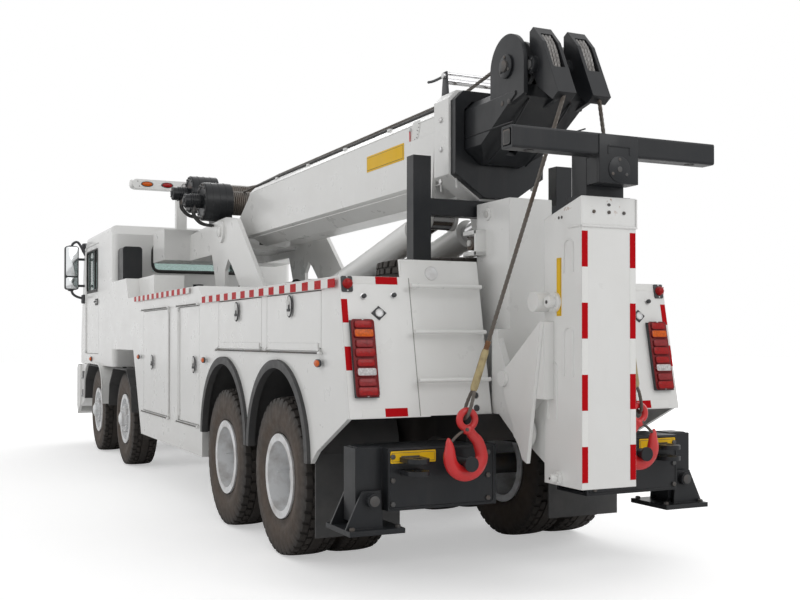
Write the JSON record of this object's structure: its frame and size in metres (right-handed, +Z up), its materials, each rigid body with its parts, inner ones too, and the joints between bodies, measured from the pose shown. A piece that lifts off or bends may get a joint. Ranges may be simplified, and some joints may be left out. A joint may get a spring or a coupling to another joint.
{
  "type": "heavy recovery tow truck",
  "caption": "Heavy wrecker on a four-axle chassis: hollow cab, locker bodies, lifting telescopic boom with winches, folding underlift and stabiliser legs.",
  "frame": {"origin": "centre of the vehicle's plan outline, on the ground", "axes": "+X forward, +Y to the vehicle's left, +Z up"},
  "size_m": [11.63, 2.96, 3.5188],
  "materials": {
    "white_paint": "gloss",
    "charcoal_paint": "satin",
    "chassis_black": "satin",
    "tyre_rubber": "matt",
    "rim_steel": "satin",
    "cast_steel": "matt",
    "clear_glass": "clear",
    "cabin_trim": "matt",
    "arch_rubber": "matt",
    "lamp_lens": "gloss",
    "chrome_rod": "polished",
    "hook_red": "satin",
    "deck_plate": "tread plate",
    "mirror_case": "matt"
  },
  "bodies": {
    "chassis": {"frame": "chassis_black", "axles": "cast_steel", "engine": "cast_steel", "cab_shell": "white_paint", "front_bumper": "white_paint", "cab_glass": "clear_glass", "cab_interior": "cabin_trim", "mirrors": "mirror_case", "mudguards": "arch_rubber", "tanks": "charcoal_paint", "light_bar": "charcoal_paint", "lamps": "lamp_lens", "body_left": "white_paint", "body_right": "white_paint", "deck": "deck_plate", "tail_panels": "white_paint", "boom_pedestal": "white_paint", "winches": "charcoal_paint", "boom_rest": "charcoal_paint", "mast": "white_paint", "rear_beams": "charcoal_paint", "hooks": "hook_red", "spare_tyre": "tyre_rubber"},
    "boom": {"boom_outer": "white_paint"},
    "boom_inner": {"boom_inner": "charcoal_paint"},
    "lift_barrels": {"lift_barrels": "white_paint"},
    "lift_rods": {"lift_rods": "chrome_rod"},
    "underlift": {"underlift_arm": "white_paint"},
    "arm_slider": {"arm_slider": "charcoal_paint"},
    "crossbar": {"crossbar": "charcoal_paint"},
    "knuckle_1l": {"knuckle_1l": "cast_steel"},
    "knuckle_1r": {"knuckle_1r": "cast_steel"},
    "knuckle_2l": {"knuckle_2l": "cast_steel"},
    "knuckle_2r": {"knuckle_2r": "cast_steel"},
    "wheel_1l": {"tyre_1l": "tyre_rubber", "rim_1l": "rim_steel"},
    "wheel_1r": {"tyre_1r": "tyre_rubber", "rim_1r": "rim_steel"},
    "wheel_2l": {"tyre_2l": "tyre_rubber", "rim_2l": "rim_steel"},
    "wheel_2r": {"tyre_2r": "tyre_rubber", "rim_2r": "rim_steel"},
    "wheel_3l": {"tyre_3l": "tyre_rubber", "rim_3l": "rim_steel"},
    "wheel_3r": {"tyre_3r": "tyre_rubber", "rim_3r": "rim_steel"},
    "wheel_4l": {"tyre_4l": "tyre_rubber", "rim_4l": "rim_steel"},
    "wheel_4r": {"tyre_4r": "tyre_rubber", "rim_4r": "rim_steel"},
    "cab_door_l": {"cab_door_l": "white_paint"},
    "locker_front_l": {"locker_front_l": "white_paint"},
    "locker_mid_l": {"locker_mid_l": "white_paint"},
    "locker_flaps_l": {"locker_flaps_l": "white_paint"},
    "stabiliser_l": {"stabiliser_l": "charcoal_paint"},
    "cab_door_r": {"cab_door_r": "white_paint"},
    "locker_front_r": {"locker_front_r": "white_paint"},
    "locker_mid_r": {"locker_mid_r": "white_paint"},
    "locker_flaps_r": {"locker_flaps_r": "white_paint"},
    "stabiliser_r": {"stabiliser_r": "charcoal_paint"}
  },
  "joints": [
    {"name": "steer_1l", "type": "hinge", "parent": "chassis", "child": "knuckle_1l", "pos_m": [4.325, 0.8, 0.5625], "axis": [0, 0, 1], "range_deg": [-35, 35]},
    {"name": "steer_1r", "type": "hinge", "parent": "chassis", "child": "knuckle_1r", "pos_m": [4.325, -0.8, 0.5625], "axis": [0, 0, 1], "range_deg": [-35, 35]},
    {"name": "steer_2l", "type": "hinge", "parent": "chassis", "child": "knuckle_2l", "pos_m": [2.445, 0.8, 0.5625], "axis": [0, 0, 1], "range_deg": [-27, 27]},
    {"name": "steer_2r", "type": "hinge", "parent": "chassis", "child": "knuckle_2r", "pos_m": [2.445, -0.8, 0.5625], "axis": [0, 0, 1], "range_deg": [-27, 27]},
    {"name": "spin_1l", "type": "hinge", "parent": "knuckle_1l", "child": "wheel_1l", "pos_m": [4.325, 1.022, 0.5625], "axis": [0, 1, 0], "continuous": true},
    {"name": "spin_1r", "type": "hinge", "parent": "knuckle_1r", "child": "wheel_1r", "pos_m": [4.325, -1.022, 0.5625], "axis": [0, 1, 0], "continuous": true},
    {"name": "spin_2l", "type": "hinge", "parent": "knuckle_2l", "child": "wheel_2l", "pos_m": [2.445, 1.022, 0.5625], "axis": [0, 1, 0], "continuous": true},
    {"name": "spin_2r", "type": "hinge", "parent": "knuckle_2r", "child": "wheel_2r", "pos_m": [2.445, -1.022, 0.5625], "axis": [0, 1, 0], "continuous": true},
    {"name": "spin_3l", "type": "hinge", "parent": "chassis", "child": "wheel_3l", "pos_m": [-2.175, 0.912, 0.5625], "axis": [0, 1, 0], "continuous": true},
    {"name": "spin_3r", "type": "hinge", "parent": "chassis", "child": "wheel_3r", "pos_m": [-2.175, -0.912, 0.5625], "axis": [0, 1, 0], "continuous": true},
    {"name": "spin_4l", "type": "hinge", "parent": "chassis", "child": "wheel_4l", "pos_m": [-3.525, 0.912, 0.5625], "axis": [0, 1, 0], "continuous": true},
    {"name": "spin_4r", "type": "hinge", "parent": "chassis", "child": "wheel_4r", "pos_m": [-3.525, -0.912, 0.5625], "axis": [0, 1, 0], "continuous": true},
    {"name": "boom_lift", "type": "hinge", "parent": "chassis", "child": "boom", "pos_m": [0.59, 0, 2.71], "axis": [0, 1, 0], "range_deg": [0, 45]},
    {"name": "boom_extend", "type": "slide", "parent": "boom", "child": "boom_inner", "axis": [-1, 0, 0], "range_m": [0, 1.5]},
    {"name": "lift_tilt", "type": "hinge", "parent": "chassis", "child": "lift_barrels", "pos_m": [-0.825, 0, 1.7], "axis": [0, 1, 0], "range_deg": [0, 51]},
    {"name": "lift_extend", "type": "slide", "parent": "lift_barrels", "child": "lift_rods", "axis": [-0.9769, 0, 0.2137], "range_m": [0, 1.28]},
    {"name": "underlift_fold", "type": "hinge", "parent": "chassis", "child": "underlift", "pos_m": [-5.185, 0, 0.97], "axis": [0, -1, 0], "range_deg": [0, 90]},
    {"name": "arm_extend", "type": "slide", "parent": "underlift", "child": "arm_slider", "axis": [0, 0, 1], "range_m": [0, 0.8]},
    {"name": "bar_swivel", "type": "hinge", "parent": "arm_slider", "child": "crossbar", "pos_m": [-5.75, 0, 2.495], "axis": [1, 0, 0], "range_deg": [-25, 25]},
    {"name": "cab_door_l", "type": "hinge", "parent": "chassis", "child": "cab_door_l", "pos_m": [5.187, 1.209, 2.06], "axis": [0, 0, -1], "range_deg": [0, 70]},
    {"name": "locker_front_l", "type": "hinge", "parent": "chassis", "child": "locker_front_l", "pos_m": [-0.222, 1.254, 1.3], "axis": [0, 0, 1], "range_deg": [0, 90]},
    {"name": "locker_mid_l", "type": "hinge", "parent": "chassis", "child": "locker_mid_l", "pos_m": [-0.618, 1.254, 1.3], "axis": [0, 0, -1], "range_deg": [0, 90]},
    {"name": "locker_flaps_l", "type": "hinge", "parent": "chassis", "child": "locker_flaps_l", "pos_m": [-3.2, 1.254, 1.463], "axis": [-1, 0, 0], "range_deg": [0, 90]},
    {"name": "stabiliser_l", "type": "slide", "parent": "chassis", "child": "stabiliser_l", "axis": [0, 0, -1], "range_m": [0, 0.38]},
    {"name": "cab_door_r", "type": "hinge", "parent": "chassis", "child": "cab_door_r", "pos_m": [5.187, -1.209, 2.06], "axis": [0, 0, 1], "range_deg": [0, 70]},
    {"name": "locker_front_r", "type": "hinge", "parent": "chassis", "child": "locker_front_r", "pos_m": [-0.222, -1.254, 1.3], "axis": [0, 0, -1], "range_deg": [0, 90]},
    {"name": "locker_mid_r", "type": "hinge", "parent": "chassis", "child": "locker_mid_r", "pos_m": [-0.618, -1.254, 1.3], "axis": [0, 0, 1], "range_deg": [0, 90]},
    {"name": "locker_flaps_r", "type": "hinge", "parent": "chassis", "child": "locker_flaps_r", "pos_m": [-3.2, -1.254, 1.463], "axis": [1, 0, 0], "range_deg": [0, 90]},
    {"name": "stabiliser_r", "type": "slide", "parent": "chassis", "child": "stabiliser_r", "axis": [0, 0, -1], "range_m": [0, 0.38]}
  ],
  "couplings": [
    {"joint": "steer_1r", "follows": "steer_1l", "ratio": 1},
    {"joint": "steer_2l", "follows": "steer_1l", "ratio": 0.75},
    {"joint": "steer_2r", "follows": "steer_1l", "ratio": 0.75},
    {"joint": "lift_tilt", "follows": "boom_lift", "ratio": 1.1253},
    {"joint": "lift_extend", "follows": "boom_lift", "m_per_rad": 1.6236}
  ]
}
